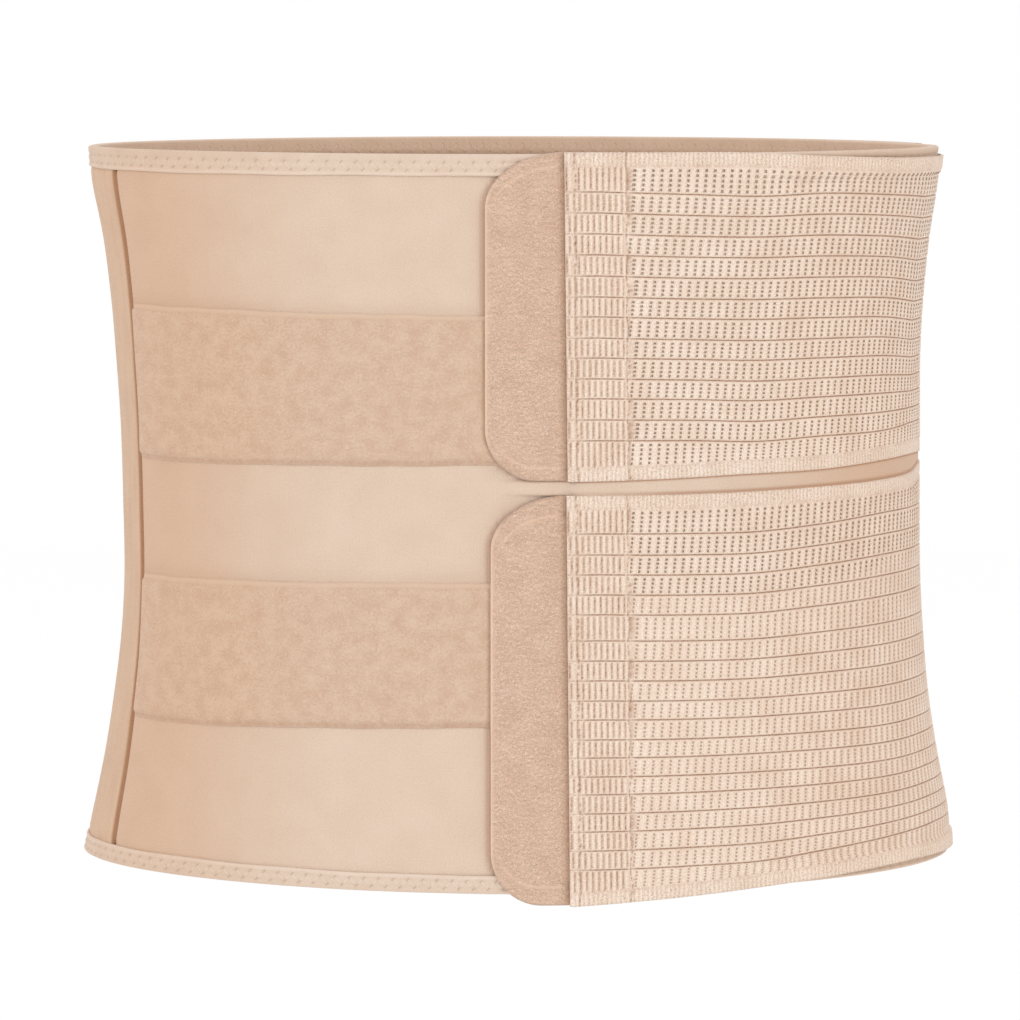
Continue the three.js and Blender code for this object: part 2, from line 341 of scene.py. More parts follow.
class Cloth:
    """A cloth material: nodes are added to it and end in its colour and its bump."""

    def __init__(self, name, roughness, sheen):
        self.material = bpy.data.materials.new(name)
        self.material.use_nodes = True
        self.tree = self.material.node_tree
        self.shader = self.tree.nodes["Principled BSDF"]
        self.shader.inputs["Roughness"].default_value = roughness
        self.shader.inputs["Specular IOR Level"].default_value = 0.2
        self.shader.inputs["Sheen Weight"].default_value = sheen
        self.shader.inputs["Sheen Roughness"].default_value = 0.5
        uv = self.tree.nodes.new("ShaderNodeUVMap")
        uv.uv_map = "cloth"
        self.uv = uv.outputs["UV"]

    def put(self, socket, value):
        if hasattr(value, "is_output"):
            self.tree.links.new(value, socket)
        else:
            socket.default_value = value

    def math(self, operation, *values):
        node = self.tree.nodes.new("ShaderNodeMath")
        node.operation = operation
        for socket, value in zip(node.inputs, values):
            self.put(socket, value)
        return node.outputs[0]

    def split(self):
        node = self.tree.nodes.new("ShaderNodeSeparateXYZ")
        self.put(node.inputs[0], self.uv)
        return node.outputs[0], node.outputs[1]

    def join(self, x, y):
        node = self.tree.nodes.new("ShaderNodeCombineXYZ")
        self.put(node.inputs[0], x)
        self.put(node.inputs[1], y)
        return node.outputs[0]

    def noise(self, size, detail=2.0, vector=None, stretch=(1, 1)):
        """Noise with blotches of about this size in millimetres."""
        mapping = self.tree.nodes.new("ShaderNodeMapping")
        mapping.inputs["Scale"].default_value = (stretch[0] / size, stretch[1] / size, 1)
        self.put(mapping.inputs["Vector"], vector or self.uv)
        node = self.tree.nodes.new("ShaderNodeTexNoise")
        node.inputs["Scale"].default_value = 1
        node.inputs["Detail"].default_value = detail
        self.put(node.inputs["Vector"], mapping.outputs[0])
        return node.outputs["Fac"]

    def range(self, value, low, high, to_low=0.0, to_high=1.0):
        node = self.tree.nodes.new("ShaderNodeMapRange")
        node.interpolation_type = "SMOOTHSTEP"
        for socket, number in zip(node.inputs, (value, low, high, to_low, to_high)):
            self.put(socket, number)
        return node.outputs[0]

    def weighted(self, first, share, second, rest):
        return self.math("ADD", self.math("MULTIPLY", first, share), self.math("MULTIPLY", second, rest))

    def blend(self, share, first, second, kind="MIX"):
        node = self.tree.nodes.new("ShaderNodeMix")
        node.data_type = "RGBA"
        node.blend_type = kind
        self.put(node.inputs[0], share)
        self.put(node.inputs[6], first)
        self.put(node.inputs[7], second)
        return node.outputs[2]

    def shade_sides(self, color, factor):
        """Painted shade: deeper colour towards the sides of the wrap, away from the middle of
        the front, where the light falls off.
        """
        far = self.range(self.math("ABSOLUTE", self.split()[0]), *side_shade_reach)
        return self.blend(far, color, (*factor, 1), "MULTIPLY")

    def attribute(self, name):
        node = self.tree.nodes.new("ShaderNodeAttribute")
        node.attribute_name = name
        return node.outputs["Fac"]

    def done(self, color, height, depth):
        """Links the colour, and a bump whose height of 1 is this many millimetres."""
        self.put(self.shader.inputs["Base Color"], color)
        bump = self.tree.nodes.new("ShaderNodeBump")
        bump.inputs["Strength"].default_value = 1
        bump.inputs["Distance"].default_value = depth * mm
        self.put(bump.inputs["Height"], height)
        self.tree.links.new(bump.outputs[0], self.shader.inputs["Normal"])
        return self.material


# Brown of the painted shade on the panels
shade_brown = srgb(160, 112, 79)


def knit_material(name, light, dark, side_shade, wale, course, depth, stretch=(1, 1), cloudy=0.3):
    """Fine jersey: columns of small V-shaped loops, and soft blotches of colour."""
    knit = Cloth(name, 0.85, 0.15)
    u, v = knit.split()
    lean = knit.math("PINGPONG", u, wale / 2)
    wales = knit.math("SINE", knit.math("MULTIPLY", u, 2 * math.pi / wale))
    courses = knit.math("SINE", knit.math("MULTIPLY", knit.math("ADD", v, lean), 2 * math.pi / course))
    loops = knit.math("ADD", wales, courses)
    cloud = knit.noise(14, 3, stretch=stretch)
    fuzz = knit.noise(0.5, 2)
    tone = knit.weighted(cloud, cloudy, fuzz, 1 - cloudy)
    # Painted shade towards the sides of the wrap
    color = knit.shade_sides(knit.blend(knit.range(tone, 0.3, 0.7), dark, light), side_shade)
    # Painted shade, brown: in the seam's groove, along the straps' edges, beside the tabs and above the loop
    # strips
    color = knit.blend(knit.attribute("shade"), color, shade_brown)
    return knit.done(color, knit.weighted(loops, 0.2, fuzz, 1.2), depth)


seam_gap = math.degrees(clearance / waist_half_depth)
panel_rows = 96
panel_edge = clearance + tape_thickness
panel_step = 1.5  # degrees between the plain columns
panel_wall = cloth_thickness - 0.4
seam_columns = np.array([0, 0.25, 0.5, 0.75, 1.0, 1.3, 1.6, 2.0, 2.6, 3.4]) / 2.0  # degrees
tab_side_columns = np.arange(-14.6, -5, 0.5)  # millimetres from the middle of the front
gap_fine_rows = np.arange(126.7, 135.6, 0.3)
gap_rows = (118, 128.7, 133.5, 144)  # the two inner ones are bent to the straps' edges
seam_roll = 2.2  # how wide the seam's edge is rolled down
seam_sink = 1.5
seam_shade = 0.78
unevenness = 0.18
tape_sink = 0.5
flush_below = 0.5  # how far below the straps' face the cloth in the gap stays
tab_flush = 4.2  # how far out it lies between the tabs
tabs_end = (6.2, 8.5)  # degrees, from the tabs' height to the straps'
tab_clear = 0.7
swell_broad, swell_spread = 0.6, 5
panel_shadow, panel_shadow_width = 0.38, 2.6
# strength and height of the painted shade above each loop strip
above_strip_shade, above_strip_reach = 0.13, 5.5


def panel_grid(start, end, seam_side, gap_fades):
    """One panel: a smooth sheet whose edge at the side seam rolls down into a groove.
    The seam is at the front panel's start (-1) and at the back panel's end (1)."""
    inner = np.linspace(start, end, int(round((end - start) / panel_step)) + 1)
    if seam_side < 0:
        angles = np.concatenate([start + seam_columns, inner[inner > start + seam_columns[-1] + 0.4]])
        angles = np.sort(np.concatenate([angles, angle_at(tab_side_columns)]))
        from_seam = along(angles) - along(start)
    else:
        angles = np.concatenate([inner[inner < end - seam_columns[-1] - 0.4], (end - seam_columns)[::-1]])
        from_seam = along(end) - along(angles)
    heights = np.linspace(panel_edge, binder_height - panel_edge, panel_rows + 1)
    heights = np.sort(np.concatenate([heights, gap_fine_rows]))
    angle, height = np.meshgrid(angles, heights)
    from_seam = np.broadcast_to(from_seam, angle.shape)
    over = turned(angles)
    low_edge, high_edge = strap_edge("lower", "top", over), strap_edge("upper", "bottom", over)
    rows = (heights[0], *gap_rows, heights[-1])
    for j in range(len(angles)):
        bent = (rows[0], rows[1], low_edge[j], high_edge[j], rows[4], rows[5])
        height[:, j] = np.interp(heights, rows, bent)
    # The drawn cloth isn't quite even, but calm along its edges and the seam
    slack = 0.22 * np.sin(along(angle) / 17 + height / 31) * np.sin(height / 23 + 1.3)
    slack += 0.12 * np.sin(along(angle) / 7.3 - height / 11)
    calm = smoothstep(height, 8, 22) * (1 - smoothstep(height, 214, 228))
    calm = calm * smoothstep(from_seam, 2, 12)
    roll = 1 - smoothstep(from_seam, 0, seam_roll)
    outward = shift(angle) + cloth_thickness - seam_sink * roll ** 2 - unevenness * (1 + slack) * calm
    # Painted shade down in the seam's groove
    dark = seam_shade * (1 - smoothstep(from_seam, 0.9, 1.9))
    # The tape pulls the cloth in along both edges, where no strap lies over it
    from_edge = np.minimum(height - tape_heights[0], binder_height - tape_heights[1] - height)
    outward = outward - tape_sink * (1 - under_straps(angle)) * (1 - smoothstep(from_edge, -0.8, 1.4))
    # Between the two straps the cloth is pressed out until it lies nearly flush with them
    between = (low_edge + high_edge) / 2
    past_tabs = smoothstep(over, *tabs_end)
    flush = strap_underside(over, between) + elastic_thickness - flush_below
    flush = tab_flush + (flush - tab_flush) * past_tabs
    if seam_side < 0:
        # At its end the front cloth dives just under the back panel's
        flush = flush - cloth_thickness * smoothstep(over, 96, 101)
    present = smoothstep(over, -4, 4) * (1 - smoothstep(over, *gap_fades))
    swell = (flush - outward) * present
    broad = swell_broad * swell * np.exp(-((height - between) / swell_spread) ** 2)
    beyond = np.maximum(height - high_edge, low_edge - height)
    held_back = tab_clear * (1 - past_tabs)  # the cloth stays clear of the tabs
    outward = outward + broad + (swell - broad) * (1 - smoothstep(beyond + held_back, 0.4, 1.6))
    # Painted shade along the two straps' edges, where the cloth meets them
    strap_edge_shade = present * (0.4 + 0.6 * smoothstep(over, 5, 9))
    upper_edge_shade = 0.8 * np.exp(-((high_edge - height - 0.05) / 0.38) ** 2)
    lower_edge_shade = (0.2 + 0.45 * smoothstep(over, 9, 24)) * np.exp(-((height - low_edge - 0.45) / 0.6) ** 2)
    dark = np.maximum(dark, strap_edge_shade * np.maximum(upper_edge_shade, lower_edge_shade))
    if seam_side < 0:
        # Painted shadow beside the tabs, and painted shade on the cloth just above each loop strip
        dark = np.maximum(dark, panel_shadow * tab_shadow(angle, height, panel_shadow_width))
        for strip_name in strips:
            above = height - strip_edge(strip_name, "top", angle)
            strip_shaded = (above > -3) * (1 - smoothstep(above, 0, above_strip_reach)) * (angle < strip_end)
            dark = np.maximum(dark, above_strip_shade * strip_shaded)
    return cloth_grid(angle, height, outward, dark)


front_knit = knit_material(
    "front_knit", srgb(213, 192, 173), srgb(205, 180, 160), (0.92, 0.80, 0.71),
    wale=1.05, course=0.8, depth=0.10)
front_start = seam_angle + seam_gap / 2
bm = panel_grid(front_start, front_panel_end, -1, (106, 111))
front_cloth = finish_piece(bm, "front_cloth", front_knit, "front_panel", panel_wall)

# Back panel: the same cloth with its brushed side out, a tone darker. It runs from the
# side seam round the back and ends on top of the front panel's tucked-in end.
back_start = -258
back_end = seam_angle - seam_gap / 2
back_knit = knit_material(
    "back_knit", srgb(211, 180, 153), srgb(200, 166, 139), (0.96, 0.93, 0.90),
    wale=1.2, course=0.9, depth=0.16, stretch=(3.2, 0.7), cloudy=0.5)
bm = panel_grid(back_start, back_end, 1, (112, 121))
back_cloth = finish_piece(bm, "back_cloth", back_knit, "back_panel", panel_wall)

# Bindings: elastic tape folded over the upper and the lower edge along the whole wrap,
# and sewn through all layers with a zigzag, whose needle holes pull two rows of dimples.
tape_out = cloth_thickness + clearance + tape_thickness
tape_flat = 0.65  # how much flatter it lies where no strap covers it
stitch_lean = 0.8
tape_in = -clearance - tape_thickness
zigzag_pitch = 4.7
row_phases = (0.0, 0.5)  # the holes of the two rows lie half a pitch apart
tape_step = 0.59
dimple_depth = 0.34
dimple_size = 0.55
tapes = {
    # name: edge height, tape height, up, dimple rows below the edge, node
    "top_tape": (binder_height, tape_heights[1], 1, (2.6, 5.1), "top_binding"),
    "bottom_tape": (0, tape_heights[0], -1, (1.7, 4.1), "bottom_binding"),
}


def tape_material(name, edge, up, rows):
    tape = Cloth(name, 0.75, 0.2)
    u, v = tape.split()
    # The zigzag: a triangle wave between the two rows of needle holes
    wave = tape.math("DIVIDE", tape.math("PINGPONG", u, zigzag_pitch / 2), zigzag_pitch / 2)
    stitch = tape.math("MULTIPLY_ADD", wave, -up * (rows[1] - rows[0]), edge - up * rows[0])
    off = tape.math("ABSOLUTE", tape.math("SUBTRACT", v, stitch))
    thread = tape.range(off, 0.22, 0.55, 1.0, 0.0)
    fibre = tape.noise(0.6, 2, stretch=(1, 3))
    ribs = tape.math("SINE", tape.math("MULTIPLY", u, 2 * math.pi / 0.9))
    tone = tape.weighted(fibre, 0.7, tape.noise(9, 2), 0.3)
    color = tape.blend(tape.range(tone, 0.3, 0.7), srgb(205, 181, 160), srgb(217, 197, 180))
    color = tape.blend(tape.math("MULTIPLY", thread, 0.25), color, srgb(234, 219, 204))
    # The needle holes: short slanted dashes of painted shade
    for row, phase in zip(rows, row_phases):
        down = tape.math("SUBTRACT", v, edge - up * row)
        slanted = tape.math("MULTIPLY_ADD", down, -stitch_lean, u)
        across = tape.math("PINGPONG", tape.math("ADD", slanted, phase * zigzag_pitch), zigzag_pitch / 2)
        dash = tape.math("MULTIPLY", tape.range(across, 0.14, 0.42, 1.0, 0.0),
                         tape.range(tape.math("ABSOLUTE", down), 0.35, 0.7, 1.0, 0.0))
        color = tape.blend(tape.math("MULTIPLY", dash, 0.42), color, srgb(168, 130, 103))
    # Painted highlight along the lip where the tape's face ends
    color = tape.blend(tape.math("MULTIPLY", tape.attribute("band"), 0.25), color, srgb(238, 222, 207))
    # Painted shade in the needle holes' dimples
    color = tape.blend(tape.attribute("shade"), color, srgb(176, 138, 110))
    # Painted shade towards the sides of the wrap
    color = tape.shade_sides(color, (0.96, 0.89, 0.83))
    raised = tape.math("MULTIPLY_ADD", thread, 0.5, fibre)
    height = tape.math("ADD", tape.math("MULTIPLY", ribs, 0.12), raised)
    return tape.done(color, height, 0.16)


tape_length = (along(front_panel_end) - along(back_start)) * mm
for name, (edge, tape_height, up, rows, node) in tapes.items():
    # The fold's profile: up the outer face from its lip, over the edge, and down inside
    profile = [
        # distance below the edge, distance outward
        (tape_height, tape_out - 0.75), (tape_height - 0.12, tape_out - 0.2),
        (tape_height - 0.45, tape_out + 0.12), (tape_height - 0.9, tape_out + 0.05),
        (rows[1] + 0.55, tape_out - 0.08), (rows[1] + 0.2, tape_out - 0.16), (rows[1] - 0.2, tape_out - 0.16),
        (rows[1] - 0.6, tape_out - 0.02), ((rows[0] + rows[1]) / 2, tape_out + 0.1),
        (rows[0] + 0.6, tape_out - 0.02), (rows[0] + 0.2, tape_out - 0.16), (rows[0] - 0.2, tape_out - 0.16),
        (rows[0] - 0.6, tape_out + 0.02), (0.75, tape_out + 0.1), (0.3, tape_out - 0.15),
        (0.0, tape_out - 0.8), (-0.12, (tape_out + tape_in) / 2), (0.0, tape_in + 0.8),
        (0.3, tape_in + 0.15), (0.8, tape_in), (tape_height / 2, tape_in), (tape_height, tape_in + 0.1),
    ]
    below = np.array([p[0] for p in profile])
    out = np.array([p[1] for p in profile])
    steps = int(1000 * tape_length / tape_step)
    angles = angle_at(np.linspace(along(back_start), along(front_panel_end), steps + 1))
    angle, down = np.meshgrid(angles, below)
    _, outward = np.meshgrid(angles, out)
    u = along(angle)
    face = outward > (tape_out + tape_in) / 2 + 0.5
    dimples = np.zeros_like(u)
    for row, phase in zip(rows, row_phases):
        across = (u / zigzag_pitch - phase + 0.5) % 1 - 0.5
        dimples += np.exp(-(across * zigzag_pitch / dimple_size) ** 2 - ((down - row) / dimple_size) ** 2)
    # Painted highlight along the lip where the tape's face ends
    lip_light = np.where(face, smoothstep(down, tape_height - 1.2, tape_height - 0.8), 0)
    sunk = dimple_depth * dimples + tape_flat * (1 - under_straps(angle))
    outward = outward - np.where(face, sunk, 0) + shift(angle)
    wander = 0.15 * np.sin(u / 23.0) + 0.1 * np.sin(u / 6.1 + 1)
    height = edge - up * (down + np.where(down > tape_height / 2, wander, 0))
    # Painted shade in the needle holes' dimples
    dark = np.where(face, 0.1 * dimples, 0)
    layers = (angle, height, outward, np.clip(dark, 0, 1), lip_light)
    if up < 0:
        layers = [layer[::-1] for layer in layers]
    bm = cloth_grid(*layers)
    material = tape_material(name + "_elastic", edge, up, rows)
    tape = finish_piece(bm, name, material, node, 0.55)

# Loop strips: two bands of fuzzy brushed loop, sewn on the front panel along their
# upper and lower edges. The hook tabs close on them.
lip = 1.7  # the flat band along the edge, where it is sewn
strip_drop = 0.6  # how far the very edge comes down
strip_stitch_pitch = 2.6
strip_rim = (
    # distance in from the edge, distance out from the strip's underside
    (0, -strip_drop), (0.25, -0.12), (0.6, 0.18), (1.0, 0.32), (1.4, 0.38), (lip, 0.42),
    (lip + 0.4, 0.75), (lip + 1.0, 1.0),
)
# Brown of sewn edges, and of the painted shadows beside the tabs and under the hems
sewn_and_shadow_brown = srgb(160, 120, 92)


def pile_material(name, light, dark, side_shade, fibre_size, blotch, depth, stretch=(1, 1), blotchy=0.4):
    """Brushed pile: fine crossed fibres over soft blotches, with a flat stitched rim."""
    pile = Cloth(name, 0.95, 0.35)
    warp = pile.noise(fibre_size * 2.2, 1)
    warped = pile.tree.nodes.new("ShaderNodeVectorMath")
    warped.operation = "MULTIPLY_ADD"
    pile.put(warped.inputs[0], pile.join(warp, pile.noise(fibre_size * 2.7, 1)))
    warped.inputs[1].default_value = (fibre_size * 3, fibre_size * 3, 0)
    pile.put(warped.inputs[2], pile.uv)
    fibres = pile.noise(fibre_size, 3, warped.outputs[0], stretch)
    blotches = pile.noise(blotch, 3)
    tone = pile.weighted(fibres, 1 - blotchy, blotches, blotchy)
    color = pile.blend(pile.range(tone, 0.36, 0.62), dark, light)
    # Band: brown of sewn edges and painted shadow; shade: painted highlight on the rims, then painted shade
    # towards the sides
    rim = pile.attribute("shade")
    color = pile.blend(pile.attribute("band"), color, sewn_and_shadow_brown)
    color = pile.shade_sides(pile.blend(pile.math("MULTIPLY", rim, 0.75), color, light), side_shade)
    height = pile.math("MULTIPLY", fibres, pile.math("SUBTRACT", 1.15, rim))
    return pile.done(color, height, depth)


strip_pile = pile_material(
    "strip_pile", srgb(206, 179, 156), srgb(194, 162, 138), (0.98, 0.90, 0.835),
    fibre_size=0.7, blotch=5, depth=0.3)
strip_start = float(angle_at(along(seam_angle) + 1.9))  # just beside the seam's groove
beside_tab = np.arange(along(-7), along(-3), 0.4) - along(strip_start)
from_start = np.sort(np.concatenate([
    [0, 0.3, 0.6, 0.9], np.arange(1.2, along(strip_end) - along(strip_start) + 0.5, 1.2), beside_tab]))
for name, (*_, node) in strips.items():
    angles = angle_at(along(strip_start) + from_start)
    u = along(angles)
    top = strip_edge(name, "top", angles) + 0.12 * np.sin(u / 9) + 0.08 * np.sin(u / 3.1)
    bottom = strip_edge(name, "bottom", angles) + 0.14 * np.sin(u / 11 + 2) + 0.08 * np.sin(u / 3.7)
    rows = [(bottom + inward, strip_in + rise) for inward, rise in strip_rim]
    rim = strip_rim[-1][0]
    for share in np.linspace(0, 1, 44)[1:-1]:
        rows.append((bottom + rim + share * (top - bottom - 2 * rim), strip_out))
    rows += [(top - inward, strip_in + rise) for inward, rise in strip_rim[::-1]]
    height = np.array([row[0] for row in rows])
    outward = np.array([np.full_like(u, row[1]) for row in rows])
    angle = np.broadcast_to(angles, height.shape)
    edge_distance = np.minimum(height - height[0], height[-1] - height)
    # Stitches: short dents along the middle of the lip
    stitches = np.sin(2 * math.pi * along(angle) / strip_stitch_pitch) > 0
    stitches = np.exp(-((edge_distance - 1.35) / 0.4) ** 2) * stitches
    outward = outward - 0.12 * stitches + 0.08 * np.sin(along(angle) / 13 + height / 7)
    # The end at the seam comes down to the cloth
    risen = smoothstep(np.broadcast_to(from_start, angle.shape), -0.3, 1.0)
    outward = strip_in - strip_drop + (outward - strip_in + strip_drop) * risen
    # Painted highlight on the flat upper rim, and only a little on the lower one; both are browner where they
    # are sewn
    lower_half = height < (height[0] + height[-1]) / 2
    light = (1 - smoothstep(edge_distance, lip - 0.3, lip + 0.5)) * np.where(lower_half, 0.1, 1)
    brown = np.where(lower_half, 0.3, 0.16) * np.exp(-((edge_distance - 1.0) / 0.8) ** 2)
    brown = brown + 0.16 * stitches
    # Painted shadow beside the tabs
    brown = np.maximum(brown, 0.44 * tab_shadow(angle, height, 1.3))
    bm = cloth_grid(angle, height, outward, light, brown)
    strip = finish_piece(bm, name, strip_pile, node, 0.7)

# Hook tabs: short stiff tabs of hook cloth with a fuzzy back, round at their two free
# corners and sewn under the hems of the straps. A second patch is sewn on inside the rim.
patch_side = 1.4
patch_ends = {"upper": 4.7, "lower": 6.3}
rim_width = 0.9
tab_end = hem_start + hem_width - 0.8  # under the hem, just short of its end
tab_column = 0.8
tape_from = (110, 112.5)  # above or below mid height
gap_seat = 3.4  # how far out the cloth in the gap carries the tabs' ends
tab_seeds = {"upper": 7, "lower": 8}
tab_lean = {
    # how far the hem leans over the tab at its top, and how much further at its bottom
    "upper": (-0.75, 1.25),
    "lower": (0.1, 1.15),
}


def corner_drop(corner, past):
    wide, tall = corner
    return tall * (1 - np.sqrt(1 - np.clip(1 - past / wide, 0, 1) ** 2))


tab_pile = pile_material(
    "tab_pile", srgb(226, 195, 172), srgb(203, 166, 140), (1, 0.97, 0.94),
    fibre_size=0.5, blotch=7, depth=0.6, stretch=(1, 1.5), blotchy=0.22)
for which, reach in tab_reach.items():
    name = which + "_hook_tab"
    wide = tab_corners["top"][0]
    turn = np.linspace(0, math.pi / 2, 31)
    beyond_corner = np.arange(wide + tab_column, reach + tab_end, tab_column)
    past = np.concatenate([(1 - np.cos(turn)) * wide, beyond_corner])
    angles = angle_of(past - reach)
    full_top = strap_edge(which, "top", angles)
    full_bottom = strap_edge(which, "bottom", angles)
    top = full_top - corner_drop(tab_corners["top"], past)
    bottom = full_bottom + corner_drop(tab_corners["bottom"], past)
    share = np.concatenate([[0, 0.003, 0.008], np.linspace(0.015, 0.985, 150), [0.992, 0.997, 1]])
    height = bottom + (top - bottom) * share[:, None]
    angle = np.broadcast_to(angles, height.shape)
    out_past = np.broadcast_to(past, height.shape)
    rim_depth = tab_depth(which, angle, height)
    patch_depth = tab_depth(which, angle, height, patch_side, patch_ends[which])
    random = np.random.default_rng(tab_seeds[which])
    tuft = random.normal(0, 1, height.shape)
    tuft = (tuft + np.roll(tuft, 1, 0) + np.roll(tuft, 1, 1) + np.roll(tuft, (1, 1), (0, 1))) / 4
    # The rounded edge comes down to what the tab lies on: cloth, strips, tape or swell
    below = np.full(height.shape, cloth_thickness + 0.1)
    for strip_name in strips:
        strip_top = strip_edge(strip_name, "top", angle)
        strip_bottom = strip_edge(strip_name, "bottom", angle)
        on_strip = smoothstep(height, strip_bottom - 1.5, strip_bottom + 1.5)
        off_top = 1 - smoothstep(height, strip_top - 1.5, strip_top + 1.5)
        below += (strip_out - cloth_thickness) * on_strip * off_top
    below += tape_thickness * smoothstep(abs(height - binder_height / 2), *tape_from)
    gap_side = height - full_bottom if which == "upper" else full_top - height
    by_gap = (1 - smoothstep(gap_side, 1, 4)) * smoothstep(angle, -4, 4)
    below = below + np.clip(gap_seat - below, 0, None) * by_gap
    round_over = np.sqrt(1 - (1 - np.clip(rim_depth / rim_width, 0, 1)) ** 2)
    outward = below + 0.15 + (tab_in + 1.35 - below - 0.15) * round_over
    # The patch: a groove at its edge, then tufts that stand higher than the rim
    outward = outward - 0.3 * np.exp(-(patch_depth / 0.5) ** 2) + 0.3 * smoothstep(patch_depth, 0, 1.1)
    outward = outward + 0.11 * tuft * smoothstep(patch_depth, 0.5, 1.5)
    # Painted highlight along the patch's edge and the rounded rim; painted shade at the corners and the hem
    line = np.exp(-((patch_depth + 0.15) / 0.42) ** 2)
    from_ends = np.minimum(full_top - height, height - full_bottom)
    beside = smoothstep(from_ends, 5, 18) * (1 - smoothstep(out_past, 3.5, 5))
    rim_highlight = beside * np.exp(-((rim_depth - 0.45) / 0.45) ** 2)
    light = np.maximum(line * (0.7 - 0.4 * beside), rim_highlight)
    hem_lean = tab_lean[which][0] + tab_lean[which][1] * (full_top - height) / (full_top - full_bottom)
    to_hem = reach + hem_start + hem_lean - out_past
    # Painted shade at the corners' edges, and the hem's painted shadow on the tab, where no highlight lies
    brown = 0.3 * (1 - beside) * (1 - smoothstep(rim_depth, 0.3, 1.0))
    brown = np.maximum(brown, 0.55 * (1 - smoothstep(to_hem, 0, 2.8)))
    light = light * smoothstep(to_hem, 1.5, 3)
    bm = cloth_grid(angle, height, outward, np.clip(light, 0, 1), brown)
    tab = finish_piece(bm, name, tab_pile, "hook_tab_" + which, 1.0)
    width = (reach + tab_end) * mm
    corners = sum(across * upwards for across, upwards in tab_corners.values())
    corners = (1 - math.pi / 4) * corners * mm * mm

# Straps: two wide bands of knitted elastic, drawn from the back panel round the right of
# the picture to the front. Between thin dark lines lie flat ribs with columns of holes.
# In front the elastic is folded back to a hem, closed by two rows of stitches.
strap_end = 120
hole_pitch = 2.81
hole_share = 0.64  # of the distance between two holes
hole_sides = (0.38, 0.62)  # shares of the pitch
hole_slant = 0.6
hole_rim, hole_depth, hole_shade = 0.13, 0.25, 0.66
line_half = 0.34  # half the width of the dark line between two ribs
line_depth = 0.5
line_shade = 0.95
border_width = 4.4  # from the strap's edge to its first row of holes
selvedge_rows = (0.25, 0.9, 2.0, 3.2)
selvedge_pitch = 1.42
groove_pitch = 1.87  # narrow grooves in the hem, where no holes show
groove_shade = 0.95
stitch_pitch, bead_pitch = 2.2, 1.5
strap_seeds = {"upper": 21, "lower": 22}
rib_lines = {
    # heights in front, in millimetres, of the lines between the ribs
    "upper": (226.2, 219.5, 212.8, 206.1, 199.3, 192.6, 186.2, 179.4, 173.0, 166.3, 159.9, 153.1, 146.4),
    "lower": (116.4, 109.6, 103.2, 96.7, 90.3, 81.9, 75.4, 69.0, 62.5, 56.4, 50.0, 44.2, 38.1, 32.4, 26.3,
              20.5, 14.4, 8.3),
}
rib_bow_angles = np.array([11, 24, 35, 47, 62, 75], dtype=float)
rib_bows = {
    # how far the lines rise from there round the side, measured on four of them: the top
    # line, one at a third of the way down, one at two thirds, and the last
    "upper": ((0, -1.13, -2.13, -1.68, -3.0, -4.4), (0, -1.13, -1.84, -2.08, -3.24, -5.6),
              (0, -0.98, -1.99, -2.13, -2.77, -4.6), (0, -0.58, -1.68, -1.06, -1.02, 0.2)),
    "lower": ((0, -0.6, -1.02, 0.07, 1.7, 1.92), (0, -0.87, -1.38, -0.93, -0.64, -0.38),
              (0, -0.51, -0.92, -1.4, -1.79, -1.37), (0, 0.12, 0.07, 1.75, 3.53, 4.7)),
}
column_shade = {"upper": (0.09, 0.05), "lower": (0.17, 0.14)}  # in front, and more at the side
four_holes = (0.2, 0.4, 0.6, 0.8)
five_holes = (0.15, 0.325, 0.5, 0.675, 0.85)
tall_row = 5  # of the lower strap


def rib_bow(which, share, angles):
    """Rise of one line, by the cubic through the four measured ones."""
    stations = np.linspace(0, 1, 4)
    total = np.zeros_like(angles)
    for j, bow in enumerate(rib_bows[which]):
        others = np.delete(stations, j)
        weight = np.prod((share - others) / (stations[j] - others))
        total += weight * column(rib_bow_angles, np.array(bow), angles)
    return total


def strap_levels(which, angles):
    """Heights of the rows of vertices, the kind of each row, and the rib it belongs to,
    or -1. The rows are listed from the top and given back from the bottom up."""
    top = strap_edge(which, "top", angles)
    bottom = strap_edge(which, "bottom", angles)
    count = len(rib_lines[which])
    lines = [line + rib_bow(which, i / (count - 1), angles) for i, line in enumerate(rib_lines[which])]
    levels = [(top, "edge", -1)]
    levels += [(top - inward, "selvedge", -1) for inward in selvedge_rows]
    levels.append((top - border_width, "border", -1))
    upper = [top - border_width] + lines
    lower = lines + [bottom + border_width]
    for rib, (above, below) in enumerate(zip(upper, lower)):
        first, last = rib == 0, rib == len(lines)
        holes = five_holes if first or last or (which == "lower" and rib == tall_row) else four_holes
        if not first:
            levels.append((above - line_half, "rib", rib))
        for share_down in holes:
            middle = above + (below - above) * share_down
            half = hole_share / 2 * (above - below) / (len(holes) + 1)
            levels.append((middle + half, "hole_top", rib))
            levels.append((middle - half, "hole_bottom", rib))
        if not last:
            levels.append((below + line_half, "rib", rib))
            levels.append((lines[rib], "line", -1))
    levels.append((bottom + border_width, "border", -1))
    levels += [(bottom + inward, "selvedge", -1) for inward in selvedge_rows[::-1]]
    levels.append((bottom, "edge", -1))
    return levels[::-1]


